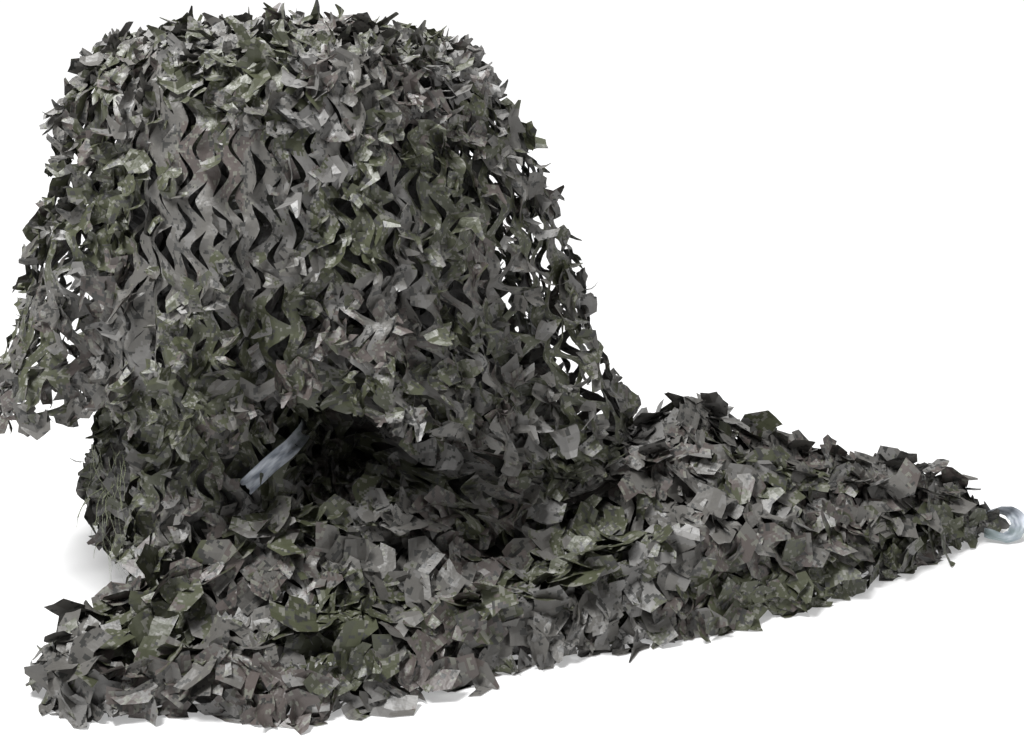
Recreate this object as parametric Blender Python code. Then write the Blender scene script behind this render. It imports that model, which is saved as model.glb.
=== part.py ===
"""A camouflage net in a heap: a cape over a bundle of itself, and a tail that spills over the floor.

Metres, +Z up, standing on z = 0 with the origin under the middle of the whole heap.
The net is one piece of leaf-cut cloth, so it is one solid. Two ribbon ties are sewn to it.
"""

import math

import bmesh
import bpy
import numpy as np
from mathutils import Matrix, Vector

# Driving sizes, in metres
HEAP_X = -0.355  # axis of the upright part of the heap
HEAP_Y = 0.055
TOP_Z = 0.820
NET_THICKNESS = 0.014  # leafy cloth with its curled tongues, where it hangs as one layer
RIBBON_WIDTH = 0.022
RIBBON_THICKNESS = 0.0014
SEAT_GAP = 0.0003  # between a ribbon and the net that holds it
FRONT_PULL = 0.19  # share by which the cape's hem hangs closer to the axis at the front
INNER_CLEARANCE = 0.022  # least room between the cape's inside and the bundle
CAPE_THROAT = 0.40  # share of the cape's drop where its hollow underside ends
HEM_LIP = ((0.25, 0.004), (0.90, 0.003))  # share of the thickness inwards, and how far below the hem
LUMP = 0.005  # how far small crumples stand out of every surface
AZIMUTHS = 72
STATION_STEPS = 3  # lofted sections for each row of the tail's table
TOP_POINTS = 27  # points across the top of one tail section

# The cape, from its pole to its hem. drop is the share of the way down to the hem,
# shift_x moves the ring sideways, and gain is how much of each flute it shows.
CAPE = {
    "drop": (0.0, 0.006, 0.020, 0.045, 0.085, 0.150, 0.230, 0.330, 0.430, 0.540, 0.660, 0.800, 0.900, 1.0),
    "radius": (0.0, 0.11, 0.18, 0.228, 0.260, 0.288, 0.310, 0.328, 0.344, 0.364, 0.385, 0.408, 0.426, 0.436),
    "shift_x": (0.0, 0.0, 0.0, 0.0, 0.0, -0.002, 0.002, 0.009, 0.012, 0.013, 0.014, 0.016, 0.018, 0.020),
    "gain": (0.0, 0.0, 0.02, 0.05, 0.10, 0.16, 0.24, 0.34, 0.44, 0.56, 0.70, 0.86, 0.96, 1.0),
}
OUTSIDE_DROPS = (0.006, 0.020, 0.045, 0.085, 0.150, 0.230, 0.330, 0.430, 0.540, 0.660, 0.800, 0.900, 0.975)
INSIDE_DROPS = (0.970, 0.860, 0.740, 0.620, 0.500, CAPE_THROAT)
POLE_RISE = 0.002  # how far the pole stands above the cape's first ring

# Ridges (+) and valleys (-) that run down the cape, deepest at the hem
FLUTES = (
    {"azimuth": 182, "width": 13, "depth": 0.016},
    {"azimuth": 205, "width": 13, "depth": 0.026},
    {"azimuth": 229, "width": 8, "depth": -0.040},
    {"azimuth": 244, "width": 8, "depth": 0.018},
    {"azimuth": 260, "width": 9, "depth": 0.016},
    {"azimuth": 277, "width": 7, "depth": -0.036},
    {"azimuth": 296, "width": 10, "depth": 0.030},
    {"azimuth": 309, "width": 5, "depth": -0.022},
    {"azimuth": 316, "width": 5, "depth": 0.020},
    {"azimuth": 326, "width": 6, "depth": -0.055},
    {"azimuth": 341, "width": 9, "depth": 0.030},
    {"azimuth": 358, "width": 12, "depth": 0.044},
    {"azimuth": 21, "width": 9, "depth": -0.032},
    {"azimuth": 46, "width": 12, "depth": 0.030},
    {"azimuth": 71, "width": 9, "depth": -0.040},
    {"azimuth": 96, "width": 12, "depth": 0.026},
    {"azimuth": 121, "width": 9, "depth": -0.042},
    {"azimuth": 147, "width": 11, "depth": 0.030},
    {"azimuth": 165, "width": 7, "depth": -0.026},
)

# Height of the cape's hem above the floor, round the heap
HEM = {
    "azimuth": (0, 30, 60, 90, 120, 150, 180, 200, 216, 229, 244, 260, 277, 296, 309, 326, 341, 360),
    "z": (0.215, 0.190, 0.225, 0.180, 0.215, 0.205, 0.248, 0.268, 0.290, 0.304,
          0.290, 0.318, 0.352, 0.318, 0.268, 0.222, 0.190, 0.215),
}

# The bundle of net under the cape, from its waist to the floor
BUNDLE = {
    "z": (0.000, 0.022, 0.061, 0.126, 0.200, 0.270, 0.340, 0.420, 0.500),
    "radius": (0.240, 0.276, 0.308, 0.318, 0.304, 0.282, 0.276, 0.284, 0.292),
}
BUNDLE_HEIGHTS = (0.48, 0.42, 0.36, 0.30, 0.24, 0.19, 0.14, 0.09, 0.045, 0.016, 0.0)
BUNDLE_DEGREES_PER_METRE = 52  # how far the bundle's folds wind round as they climb
BUNDLE_TWISTS = (
    {"azimuth": 184, "width": 12, "depth": 0.014},
    {"azimuth": 207, "width": 8, "depth": -0.022},
    {"azimuth": 228, "width": 10, "depth": 0.018},
    {"azimuth": 248, "width": 6, "depth": -0.016},
    {"azimuth": 262, "width": 8, "depth": 0.014},
    {"azimuth": 12, "width": 10, "depth": 0.014},
    {"azimuth": 40, "width": 9, "depth": -0.022},
    {"azimuth": 66, "width": 10, "depth": 0.018},
    {"azimuth": 92, "width": 8, "depth": -0.020},
    {"azimuth": 118, "width": 11, "depth": 0.016},
    {"azimuth": 148, "width": 8, "depth": -0.022},
)
RECESS = {"azimuth": 298, "width": 23, "share": 0.56, "z": 0.29, "height": 0.13}

# The tail over the floor. Each row is a section from its near foot to its far foot;
# ridge is where across it the crest lies, edge how blunt its near side is, fold how deep its pleats are.
TAIL_COLUMNS = ("near_x", "near_y", "far_x", "far_y", "height", "ridge", "edge", "fold")
TAIL = (
    (-0.690, -0.352, -0.672, -0.318, 0.022, 0.50, 2.0, 0.10),
    (-0.648, -0.410, -0.628, -0.292, 0.064, 0.52, 1.9, 0.40),
    (-0.580, -0.462, -0.585, -0.250, 0.088, 0.56, 1.8, 0.60),
    (-0.495, -0.474, -0.550, -0.185, 0.102, 0.60, 1.7, 0.80),
    (-0.402, -0.462, -0.505, -0.090, 0.150, 0.72, 1.5, 0.90),
    (-0.308, -0.484, -0.410, 0.000, 0.200, 0.62, 1.35, 0.85),
    (-0.210, -0.446, -0.280, 0.040, 0.205, 0.62, 1.35, 0.75),
    (-0.105, -0.392, -0.145, 0.080, 0.190, 0.68, 1.45, 0.75),
    (0.002, -0.330, -0.018, 0.130, 0.195, 0.66, 1.5, 0.75),
    (0.112, -0.286, 0.102, 0.180, 0.210, 0.66, 1.6, 0.75),
    (0.218, -0.242, 0.228, 0.205, 0.236, 0.68, 1.6, 0.65),
    (0.316, -0.196, 0.336, 0.210, 0.196, 0.58, 1.6, 0.80),
    (0.422, -0.138, 0.442, 0.212, 0.160, 0.60, 1.7, 0.75),
    (0.522, -0.064, 0.540, 0.210, 0.126, 0.56, 1.8, 0.65),
    (0.620, 0.012, 0.634, 0.206, 0.108, 0.56, 1.8, 0.55),
    (0.690, 0.072, 0.700, 0.196, 0.086, 0.55, 1.8, 0.40),
    (0.736, 0.108, 0.744, 0.178, 0.054, 0.52, 1.9, 0.20),
    (0.762, 0.126, 0.767, 0.164, 0.032, 0.50, 2.0, 0.05),
)

# Pleats along the tail: where across the section each one lies at its left and right end,
# how wide it is, how far it stands up, and how far its crest leans over its neighbour.
PLEATS = (
    {"left": 0.13, "right": 0.20, "width": 0.070, "rise": 0.030, "lean": 0.40},
    {"left": 0.30, "right": 0.26, "width": 0.060, "rise": -0.036, "lean": 0.00},
    {"left": 0.44, "right": 0.42, "width": 0.075, "rise": 0.034, "lean": 0.45},
    {"left": 0.60, "right": 0.52, "width": 0.060, "rise": -0.034, "lean": 0.00},
    {"left": 0.74, "right": 0.68, "width": 0.080, "rise": 0.030, "lean": 0.35},
    {"left": 0.90, "right": 0.86, "width": 0.060, "rise": -0.024, "lean": 0.00},
)
PLEAT_WANDER = 0.035  # share of the section that a pleat wanders to either side on its way along
PLEAT_FADE = 0.06  # share of the section at each foot where the pleats die away
CREST_SHARE = 0.45  # no pleat goes lower than this share of the plain outline
FAR_BLUNT = (2.2, 0.6)  # the two powers that shape the far side of each section
TAIL_LUMP = 1.5  # the tail's crumples against the cape's
FULL_FOLD = 0.4  # from this fold depth on, a section is fully crumpled

# The ribbon that hangs out of the recess: where its middle runs, and which way its width points
FRONT_TIE = (
    {"at": (-0.326, -0.095, 0.262), "across": (0.70, -0.16, -0.70)},
    {"at": (-0.325, -0.150, 0.267), "across": (0.68, -0.18, -0.72)},
    {"at": (-0.332, -0.188, 0.267), "across": (0.66, -0.20, -0.72)},
    {"at": (-0.343, -0.212, 0.263), "across": (0.66, -0.20, -0.72)},
    {"at": (-0.353, -0.230, 0.257), "across": (0.66, -0.22, -0.72)},
    {"at": (-0.366, -0.238, 0.247), "across": (0.66, -0.24, -0.70)},
    {"at": (-0.378, -0.238, 0.236), "across": (0.66, -0.22, -0.72)},
    {"at": (-0.391, -0.228, 0.223), "across": (0.66, -0.18, -0.73)},
    {"at": (-0.404, -0.206, 0.206), "across": (0.66, -0.10, -0.74)},
)

# The ribbon loop at the tail's end, as a drop shape in a plane that leans back from the floor
LOOP_LENGTH = 0.068
LOOP_HEIGHT = 0.054
LOOP_ROOT = (0.740, 0.134, 0.024)  # where the two ends meet, inside the net
LOOP_LEAN = 24  # degrees of its plane above the floor
LOOP_TURN = -8  # degrees of its long side from +X
LOOP_OPEN = 0.10  # share of the drop that is left out at its root, which keeps the two ends apart
LOOP_TAIL = 0.014  # how far each end runs on into the net
LOOP_SWELL = (0.62, 0.8)  # how wide the drop's far end is, and how sharply it narrows to its root
LOOP_CLEARANCE = 0.0004  # between the loop's lowest edge and the floor
LOOP_SECTIONS = 20


def clear_scene():
    for item in list(bpy.data.objects):
        bpy.data.objects.remove(item)


def finish_material(name, colour, roughness):
    material = bpy.data.materials.new(name)
    material.use_nodes = True
    shader = material.node_tree.nodes["Principled BSDF"]
    shader.inputs["Base Color"].default_value = (*colour, 1.0)
    shader.inputs["Roughness"].default_value = roughness
    shader.inputs["Metallic"].default_value = 0.0
    return material


def read(table, name, at):
    """The value of one column, between its rows."""
    keys = next(iter(table.values()))
    return float(np.interp(at, keys, table[name]))


def bumps(rows, azimuth):
    """The sum of ridges and valleys at an azimuth, in metres."""
    total = 0.0
    for row in rows:
        away = (azimuth - row["azimuth"] + 180.0) % 360.0 - 180.0
        total += row["depth"] * math.exp(-0.5 * (away / row["width"]) ** 2)
    return total


def crumple(x, y, z):
    """Small uneven crumples, the same at a point whichever surface it lies on."""
    coarse = math.sin(31 * x + 17 * y + 23 * z)
    middling = 0.8 * math.sin(41 * y - 29 * x + 1.3)
    fine = 0.7 * math.sin(53 * z + 37 * x - 19 * y + 0.7)
    return LUMP * (coarse + middling + fine)


def polar(azimuth, radius, z, shift_x=0.0):
    turn = math.radians(azimuth)
    return Vector((HEAP_X + shift_x + radius * math.cos(turn), HEAP_Y + radius * math.sin(turn), z))


def cape_radius(azimuth, drop):
    """The cape's outer radius: it hangs closer to the axis in front, and its flutes deepen downwards."""
    front = max(0.0, -math.sin(math.radians(azimuth))) ** 2
    pull = 1.0 - FRONT_PULL * front * read(CAPE, "gain", drop)
    radius = read(CAPE, "radius", drop) * pull + bumps(FLUTES, azimuth) * read(CAPE, "gain", drop)
    place = polar(azimuth, radius, cape_height(azimuth, drop))
    return radius + crumple(*place) * min(1.0, 5.0 * drop)


def cape_height(azimuth, drop):
    return TOP_Z - (TOP_Z - read(HEM, "z", azimuth)) * drop


def cape_drop(azimuth, z):
    return (TOP_Z - z) / (TOP_Z - read(HEM, "z", azimuth))


def cape_place(azimuth, drop, inwards, below):
    """A point on the cape, or so far inside it and below it."""
    radius = cape_radius(azimuth, drop) - inwards
    return polar(azimuth, radius, cape_height(azimuth, drop) - below, read(CAPE, "shift_x", drop))


def bundle_radius(azimuth, z):
    """The bundle's radius. Its folds wind round as they climb, and a deep recess opens at the front right."""
    wound = azimuth - BUNDLE_DEGREES_PER_METRE * z
    radius = read(BUNDLE, "radius", z) + bumps(BUNDLE_TWISTS, wound)
    away = (azimuth - RECESS["azimuth"] + 180.0) % 360.0 - 180.0
    across = math.exp(-((away / RECESS["width"]) ** 4))
    up = math.exp(-(((z - RECESS["z"]) / RECESS["height"]) ** 4))
    return radius * (1.0 - RECESS["share"] * across * up)


def upright_profile(azimuth):
    """One half section of the upright heap: over the cape, under its hem, down the bundle to the floor."""
    points = []
    for drop in OUTSIDE_DROPS:
        points.append(cape_place(azimuth, drop, 0.0, 0.0))
    for inwards, below in HEM_LIP:
        points.append(cape_place(azimuth, 1.0, inwards * NET_THICKNESS, below))
    for drop in INSIDE_DROPS:
        points.append(cape_place(azimuth, drop, NET_THICKNESS, 0.0))
    throat_z = cape_height(azimuth, CAPE_THROAT) - NET_THICKNESS
    for z in (throat_z, *BUNDLE_HEIGHTS):
        radius = bundle_radius(azimuth, z)
        drop = cape_drop(azimuth, z)
        if drop <= 1.0:
            radius = min(radius, cape_radius(azimuth, drop) - NET_THICKNESS - INNER_CLEARANCE)
        points.append(polar(azimuth, radius, z))
    return points


def skin(rings, first, last):
    """A closed mesh through rings of equal length, with each end closed round one point."""
    mesh = bmesh.new()
    loops = [[mesh.verts.new(point) for point in ring] for ring in rings]
    for lower, upper in zip(loops, loops[1:]):
        for i in range(len(lower)):
            j = (i + 1) % len(lower)
            mesh.faces.new((lower[i], lower[j], upper[j], upper[i]))
    for point, loop in ((first, loops[0]), (last, loops[-1])):
        tip = mesh.verts.new(point)
        for i in range(len(loop)):
            mesh.faces.new((tip, loop[i], loop[(i + 1) % len(loop)]))
    bmesh.ops.recalc_face_normals(mesh, faces=mesh.faces)
    return mesh


def make_object(name, mesh, material, helper=False):
    """Flat triangles throughout, so that a cut follows the same surface as the shape it cuts."""
    bmesh.ops.triangulate(mesh, faces=mesh.faces)
    data = bpy.data.meshes.new(name)
    mesh.to_mesh(data)
    mesh.free()
    made = bpy.data.objects.new(name, data)
    made.data.materials.append(material)
    bpy.context.scene.collection.objects.link(made)
    if helper:
        made.hide_render = True
        made.display_type = "WIRE"
    return made


def upright_heap():
    """Rings round the heap's axis, from the pole over the hem and down to the floor."""
    turns = [360.0 * i / AZIMUTHS for i in range(AZIMUTHS)]
    profiles = [upright_profile(azimuth) for azimuth in turns]
    rings = list(zip(*profiles))
    return skin(rings, polar(0, 0, TOP_Z + POLE_RISE), polar(0, 0, 0.0))


def tail_rows():
    """The table's rows with more between them, as dictionaries."""
    rows = smooth_path([np.array(row) for row in TAIL], STATION_STEPS)
    return [dict(zip(TAIL_COLUMNS, row)) for row in rows]


def crest_height(row, t):
    """The section's outline without pleats: blunt near side, crest, and a softer far side."""
    if t < row["ridge"]:
        near = 1.0 - t / row["ridge"]
        return row["height"] * (1.0 - near ** row["edge"]) ** (1.0 / row["edge"])
    far = (t - row["ridge"]) / (1.0 - row["ridge"])
    return row["height"] * max(0.0, 1.0 - far ** FAR_BLUNT[0]) ** FAR_BLUNT[1]


def tail_section(row, along):
    """One closed outline across the tail: over its pleats, and flat along the floor."""
    near = Vector((row["near_x"], row["near_y"], 0.0))
    far = Vector((row["far_x"], row["far_y"], 0.0))
    outline = []
    for i in range(TOP_POINTS):
        t = 0.5 - 0.5 * math.cos(math.pi * i / (TOP_POINTS - 1))
        z = crest_height(row, t)
        lean = 0.0
        for pleat in PLEATS:
            middle = pleat["left"] + (pleat["right"] - pleat["left"]) * along
            middle += PLEAT_WANDER * math.sin(9.0 * along + 7.0 * pleat["left"])
            wave = math.exp(-0.5 * ((t - middle) / pleat["width"]) ** 2)
            z += pleat["rise"] * row["fold"] * wave
            lean += pleat["lean"] * pleat["rise"] * row["fold"] * wave
        fade = min(1.0, t / PLEAT_FADE, (1.0 - t) / PLEAT_FADE)
        point = near.lerp(far, t)
        z += TAIL_LUMP * crumple(point.x, point.y, z) * min(1.0, row["fold"] / FULL_FOLD)
        z = max(crest_height(row, t) * CREST_SHARE, z) * fade + crest_height(row, t) * (1.0 - fade)
        point += (near - far).normalized() * lean * fade
        point.z = z
        outline.append(point)
    outline[0].z = 0.0
    outline[-1].z = 0.0
    for share in (0.75, 0.5, 0.25):
        outline.append(near.lerp(far, share))
    return outline


def floor_tail():
    rows = tail_rows()
    rings = [tail_section(row, i / (len(rows) - 1)) for i, row in enumerate(rows)]
    first = sum(rings[0], Vector()) / len(rings[0])
    last = sum(rings[-1], Vector()) / len(rings[-1])
    return skin(rings, first, last)


def strip(places, acrosses, thickness, width):
    """A flat strip through places, each with the direction of its width."""
    rings = []
    for i, (place, across) in enumerate(zip(places, acrosses)):
        before = places[max(i - 1, 0)]
        after = places[min(i + 1, len(places) - 1)]
        along = (after - before).normalized()
        side = (across - along * across.dot(along)).normalized()
        normal = along.cross(side)
        rings.append([
            place + side * width * a + normal * thickness * b
            for a, b in ((-0.5, -0.5), (0.5, -0.5), (0.5, 0.5), (-0.5, 0.5))
        ])
    mesh = bmesh.new()
    loops = [[mesh.verts.new(point) for point in ring] for ring in rings]
    for lower, upper in zip(loops, loops[1:]):
        for i in range(4):
            j = (i + 1) % 4
            mesh.faces.new((lower[i], lower[j], upper[j], upper[i]))
    mesh.faces.new(loops[0])
    mesh.faces.new(loops[-1])
    bmesh.ops.recalc_face_normals(mesh, faces=mesh.faces)
    return mesh


def smooth_path(points, steps):
    """Points along a Catmull-Rom curve through the given ones."""
    ends = [2 * points[0] - points[1], *points, 2 * points[-1] - points[-2]]
    path = []
    for a, b, c, d in zip(ends, ends[1:], ends[2:], ends[3:]):
        for i in range(steps):
            t = i / steps
            path.append(0.5 * (2 * b + (c - a) * t + (2 * a - 5 * b + 4 * c - d) * t**2
                               + (3 * b - a - 3 * c + d) * t**3))
    path.append(points[-1])
    return path


def front_tie_path():
    places = smooth_path([Vector(row["at"]) for row in FRONT_TIE], 2)
    acrosses = smooth_path([Vector(row["across"]) for row in FRONT_TIE], 2)
    return places, acrosses


def loop_path():
    """A drop-shaped loop: two runs out of one root, spread apart and turned round the far end."""
    turn = math.radians(LOOP_TURN)
    lean = math.radians(LOOP_LEAN)
    out = Vector((math.cos(turn), math.sin(turn), 0.0))
    back = Vector((-math.sin(turn) * math.cos(lean), math.cos(turn) * math.cos(lean), math.sin(lean)))
    across = out.cross(back)
    places = []
    for i in range(LOOP_SECTIONS + 1):
        swing = 2.0 * math.pi * (LOOP_OPEN + (1.0 - 2.0 * LOOP_OPEN) * i / LOOP_SECTIONS)
        reach = LOOP_LENGTH * 0.5 * (1.0 - math.cos(swing))
        spread = LOOP_HEIGHT * LOOP_SWELL[0] * math.sin(swing) * math.sin(0.5 * swing) ** LOOP_SWELL[1]
        places.append(Vector(LOOP_ROOT) + out * reach + back * spread)
    places.insert(0, places[0] - out * LOOP_TAIL)
    places.append(places[-1] - out * LOOP_TAIL)
    lowest = min(place.z for place in places) - 0.5 * RIBBON_WIDTH * abs(across.z) - RIBBON_THICKNESS
    rise = max(0.0, LOOP_CLEARANCE - lowest)
    return [place + Vector((0, 0, rise)) for place in places], [across] * len(places)


def cut_seat(net, path, name, material):
    """A pocket in the net that a ribbon fits with a small gap all round."""
    places, acrosses = path
    places = list(places)
    places[0] = places[0] + (places[0] - places[1]).normalized() * 2 * SEAT_GAP
    places[-1] = places[-1] + (places[-1] - places[-2]).normalized() * 2 * SEAT_GAP
    seat = make_object(name, strip(places, acrosses, RIBBON_THICKNESS + 2 * SEAT_GAP,
                                   RIBBON_WIDTH + 2 * SEAT_GAP), material, helper=True)
    cut = net.modifiers.new(name, "BOOLEAN")
    cut.operation = "DIFFERENCE"
    cut.solver = "EXACT"
    cut.object = seat


def centre_on_origin(pieces):
    """Moves everything so that the origin lies under the middle of the whole outline."""
    bpy.context.view_layer.update()
    graph = bpy.context.evaluated_depsgraph_get()
    corners = [piece.evaluated_get(graph).bound_box[i] for piece in pieces for i in range(8)]
    low = [min(corner[axis] for corner in corners) for axis in range(2)]
    high = [max(corner[axis] for corner in corners) for axis in range(2)]
    middle = Vector(((low[0] + high[0]) / 2, (low[1] + high[1]) / 2, 0.0))
    for item in bpy.data.objects:
        item.data.transform(Matrix.Translation(-middle))


def main():
    clear_scene()
    cloth = finish_material("net_cloth", (0.150, 0.150, 0.135), 0.62)
    satin = finish_material("ribbon_satin", (0.330, 0.380, 0.420), 0.38)
    net = make_object("net", upright_heap(), cloth)
    tail = make_object("tail_helper", floor_tail(), cloth, helper=True)
    join = net.modifiers.new("tail", "BOOLEAN")
    join.operation = "UNION"
    join.solver = "EXACT"
    join.object = tail
    pieces = [net]
    for name, path in (("tie_front", front_tie_path()), ("tie_tail", loop_path())):
        places, acrosses = path
        pieces.append(make_object(name, strip(places, acrosses, RIBBON_THICKNESS, RIBBON_WIDTH), satin))
        cut_seat(net, path, name + "_seat", cloth)
    centre_on_origin(pieces)


main()
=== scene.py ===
import math

import bmesh
import bpy
import numpy as np
from mathutils import Matrix, Vector
from mathutils.bvhtree import BVHTree


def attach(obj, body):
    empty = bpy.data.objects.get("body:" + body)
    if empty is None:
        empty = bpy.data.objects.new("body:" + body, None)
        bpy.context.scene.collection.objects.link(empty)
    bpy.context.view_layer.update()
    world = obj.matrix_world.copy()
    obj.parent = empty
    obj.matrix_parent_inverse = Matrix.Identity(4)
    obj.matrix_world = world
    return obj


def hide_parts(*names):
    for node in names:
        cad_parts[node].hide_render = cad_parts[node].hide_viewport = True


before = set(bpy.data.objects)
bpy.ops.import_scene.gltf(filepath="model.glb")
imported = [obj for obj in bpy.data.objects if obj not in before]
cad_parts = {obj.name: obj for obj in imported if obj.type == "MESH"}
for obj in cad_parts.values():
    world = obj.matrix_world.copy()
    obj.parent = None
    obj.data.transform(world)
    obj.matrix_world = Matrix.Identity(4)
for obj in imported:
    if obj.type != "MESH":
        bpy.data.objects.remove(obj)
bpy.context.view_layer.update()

print("stage: frame loaded")

# The cut of the cloth: rows of zigzag slits, brick fashion, that open like expanded metal
netCut = {
    "stripWidth": 0.0265,      # between two neighbouring lines of slits
    "columnsPerStrip": 5,
    "slitPeriod": 0.066,       # one slit and the bridge after it
    "rowsPerPeriod": 12,
    "bridgeRows": 2,
    "zigzag": 0.0108,          # how far each slit's middle stands out to one side
    "zigzagRound": 0.75,       # from 0, sharp elbows, to 1, round ones
}

# Where the upright part of the heap stands, and the tables that its cloth is read into
heapSpace = {
    "axis": (-0.3614, 0.0384),
    "azimuthSteps": 144,
    "tableStep": 0.012,
    "topHalf": 0.31,
    "outside": 0.50,           # the radius from which its sides are looked at
    "seamShare": 0.25,         # the sheets that go round the heap meet at the back
    "floorGap": 0.0015,        # the net's cloth stays over the floor by this
}


def latticeValues(ix, iy, iz, seed):
    # one repeatable number from -1 to 1 for each lattice point
    mixed = (ix.astype(np.int64) * 374761393 + iy.astype(np.int64) * 668265263
             + iz.astype(np.int64) * 1103515245 + np.int64(seed * 974711 + 12345))
    mixed = (mixed ^ (mixed >> 13)) & 0xFFFFFFFF
    mixed = (mixed * 1274126177) & 0xFFFFFFFF
    mixed = mixed ^ (mixed >> 15)
    mixed = (mixed * 2246822519) & 0xFFFFFFFF
    mixed = mixed ^ (mixed >> 13)
    return (mixed & 0xFFFF) / 32767.5 - 1.0


def softNoise(x, y, z, seed):
    # smooth noise from -1 to 1, one bump for each unit
    cells = [np.floor(axis) for axis in (x, y, z)]
    parts = [axis - cell for axis, cell in zip((x, y, z), cells)]
    eased = [part * part * (3.0 - 2.0 * part) for part in parts]
    total = 0.0
    for cornerX in (0, 1):
        for cornerY in (0, 1):
            for cornerZ in (0, 1):
                weight = ((eased[0] if cornerX else 1.0 - eased[0])
                          * (eased[1] if cornerY else 1.0 - eased[1])
                          * (eased[2] if cornerZ else 1.0 - eased[2]))
                total = total + weight * latticeValues(cells[0] + cornerX, cells[1] + cornerY,
                                                       cells[2] + cornerZ, seed)
    return total


def flatNoise(u, v, wave, seed, around=0.0):
    # noise over a surface; around is the length after which u comes back to where it began
    if around:
        radius = around / math.tau
        x, y = radius * np.cos(u / radius), radius * np.sin(u / radius)
        return softNoise(x / wave, y / wave, v / wave, seed)
    return softNoise(u / wave, v / wave, np.zeros_like(u) + 0.37, seed)


# Facets are what three sets of ridges leave between them, each at its own heading
facetShape = {"sets": 3, "turn": 62.0, "seedTurn": 1.1, "sway": 0.9, "swayWave": 1.7,
              "strength": (0.55, 0.45), "strengthWave": 2.6}


def facetNoise(u, v, wave, seed, around=0.0):
    # flat facets with sharp creases between them, from -1 to 1, as in crumpled cloth
    total = np.zeros_like(u)
    base, varies = facetShape["strength"]
    for fold in range(facetShape["sets"]):
        angle = facetShape["seedTurn"] * seed + math.radians(facetShape["turn"]) * fold
        pace = math.cos(angle) / wave
        if around:
            pace = round(pace * around) / around
        along = u * pace + v * math.sin(angle) / wave
        sway = flatNoise(u, v, facetShape["swayWave"] * wave, seed + 3 * fold, around)
        along = along + facetShape["sway"] * sway
        strength = flatNoise(u, v, facetShape["strengthWave"] * wave, seed + 3 * fold + 1, around)
        strength = base + varies * strength
        total = total + strength * (1.0 - 4.0 * np.abs(along - np.floor(along) - 0.5))
    return total / 2.0


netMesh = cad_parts["net"].data
netTree = BVHTree.FromPolygons([vertex.co for vertex in netMesh.vertices],
                               [tuple(face.vertices) for face in netMesh.polygons])


def entries(start, direction, reach):
    # the places where a straight line goes into the solid
    found = []
    travelled = 0.0
    while travelled < reach:
        place, normal, _, distance = netTree.ray_cast(start + direction * travelled, direction,
                                                      reach - travelled)
        if place is None:
            break
        travelled += distance + 0.0001
        if normal.dot(direction) < 0.0:
            found.append(place)
    return found


def resample(points, longest):
    # points at even steps along a run of points, carried straight on past its end
    run = np.array(points)
    lengths = np.concatenate([[0.0], np.cumsum(np.linalg.norm(np.diff(run, axis=0), axis=1))])
    total = lengths[-1]
    marks = np.arange(0.0, longest + heapSpace["tableStep"], heapSpace["tableStep"])
    placed = np.stack([np.interp(marks, lengths, run[:, axis]) for axis in range(3)], axis=1)
    tail = run[-1] - run[max(len(run) - 10, 0)]
    tail = tail / max(np.linalg.norm(tail), 1e-6)
    beyond = marks > total
    placed[beyond] = run[-1] + tail * (marks[beyond] - total)[:, None]
    return placed, total


def unitRows(table):
    return table / np.maximum(np.linalg.norm(table, axis=-1, keepdims=True), 1e-9)


class DrapedSurface:
    # a table of places, read between its rows and columns, with the way out at each

    def __init__(self, places, ends, stepU, closed, facing=1.0):
        places = self.smoothed(np.array(places), closed)
        self.places = places
        self.ends = np.array(ends)
        self.stepU = stepU
        self.stepV = heapSpace["tableStep"]
        self.closed = closed
        self.around = stepU * len(places) if closed else 0.0
        alongU = np.roll(places, -1, 0) - np.roll(places, 1, 0)
        if not closed:
            alongU[0] = places[1] - places[0]
            alongU[-1] = places[-1] - places[-2]
        self.normals = unitRows(facing * np.cross(np.gradient(places, axis=1), alongU))

    @staticmethod
    def smoothed(places, closed):
        before, after = np.roll(places, 1, 0), np.roll(places, -1, 0)
        if not closed:
            before[0], after[-1] = places[0], places[-1]
        mixed = 0.5 * places + 0.25 * (before + after)
        inner = mixed.copy()
        inner[:, 1:-1] = 0.5 * mixed[:, 1:-1] + 0.25 * (mixed[:, 2:] + mixed[:, :-2])
        return inner

    def corners(self, u, v):
        count = self.places.shape[0]
        a = u / self.stepU
        b = np.clip(v / self.stepV, 0.0, self.places.shape[1] - 1.001)
        if not self.closed:
            a = np.clip(a, 0.0, count - 1.001)
        i = np.floor(a).astype(int)
        j = np.floor(b).astype(int)
        nextI = (i + 1) % count if self.closed else i + 1
        return i % count, nextI, j, j + 1, (a - i)[:, None], (b - j)[:, None]

    def at(self, u, v):
        i, nextI, j, nextJ, a, b = self.corners(u, v)
        place, normal = [(table[i, j] * (1 - a) + table[nextI, j] * a) * (1 - b)
                         + (table[i, nextJ] * (1 - a) + table[nextI, nextJ] * a) * b
                         for table in (self.places, self.normals)]
        return place, unitRows(normal)

    def endAt(self, u):
        count = len(self.ends)
        a = u / self.stepU
        if self.closed:
            return np.interp(a % count, np.arange(count + 1), np.append(self.ends, self.ends[0]))
        return np.interp(a, np.arange(count), self.ends)


def angleAway(azimuth, middle):
    return np.abs((azimuth - middle + 180.0) % 360.0 - 180.0)


def aroundHeap(azimuth, radius, z):
    turn = math.radians(azimuth)
    return Vector((heapSpace["axis"][0] + radius * math.cos(turn),
                   heapSpace["axis"][1] + radius * math.sin(turn), z))


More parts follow.
